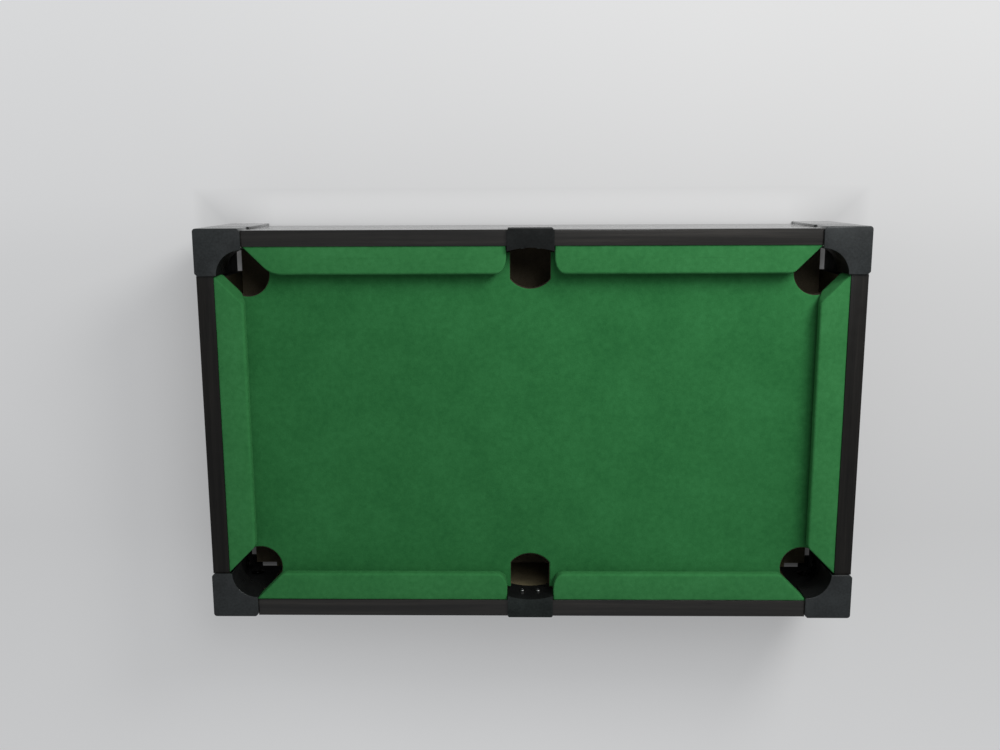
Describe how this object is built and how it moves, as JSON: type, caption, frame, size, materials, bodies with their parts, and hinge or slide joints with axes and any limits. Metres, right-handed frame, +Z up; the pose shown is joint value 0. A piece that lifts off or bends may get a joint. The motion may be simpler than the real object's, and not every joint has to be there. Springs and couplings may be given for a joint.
{
  "type": "mini pool table",
  "caption": "Table-top pool table with a green felt bed, felt cushions, corner and side pockets, dark side boards and black moulded corner caps on angle legs.",
  "frame": {"origin": "on the floor under the middle of the table, at the feet", "axes": "+X along the table's length, +Y from the front long side to the back long side, +Z up"},
  "size_m": [0.51, 0.31, 0.102],
  "materials": {
    "rail_foil": "dark wood-grain foil, satin",
    "bed_felt": "short nap, matt",
    "cushion_felt": "short nap, matt",
    "cushion_core": "matt foam rubber",
    "cap_moulding": "fine texture, satin",
    "leg_moulding": "smooth, slightly glossy",
    "fibreboard": "raw fibreboard",
    "screws": "zinc-plated"
  },
  "bodies": {
    "root": {"apron_front": "rail_foil", "apron_back": "rail_foil", "apron_left": "rail_foil", "apron_right": "rail_foil", "bed_board": "fibreboard", "bed_felt": "bed_felt", "cushion_front_left": "cushion_core", "cushion_front_right": "cushion_core", "cushion_back_left": "cushion_core", "cushion_back_right": "cushion_core", "cushion_left": "cushion_core", "cushion_right": "cushion_core", "cushion_felt_front_left": "cushion_felt", "cushion_felt_front_right": "cushion_felt", "cushion_felt_back_left": "cushion_felt", "cushion_felt_back_right": "cushion_felt", "cushion_felt_left": "cushion_felt", "cushion_felt_right": "cushion_felt", "corner_cap_front_left": "cap_moulding", "corner_cap_front_right": "cap_moulding", "corner_cap_back_left": "cap_moulding", "corner_cap_back_right": "cap_moulding", "leg_front_left": "leg_moulding", "leg_front_right": "leg_moulding", "leg_back_left": "leg_moulding", "leg_back_right": "leg_moulding", "side_cap_front": "cap_moulding", "side_cap_back": "cap_moulding", "bottom_board": "fibreboard", "bottom_cleats": "fibreboard", "bed_cleats": "fibreboard", "corner_screws": "screws", "side_cap_screws": "screws", "cushion_screws": "screws", "bed_screws": "screws", "bottom_screws": "screws"}
  },
  "joints": []
}
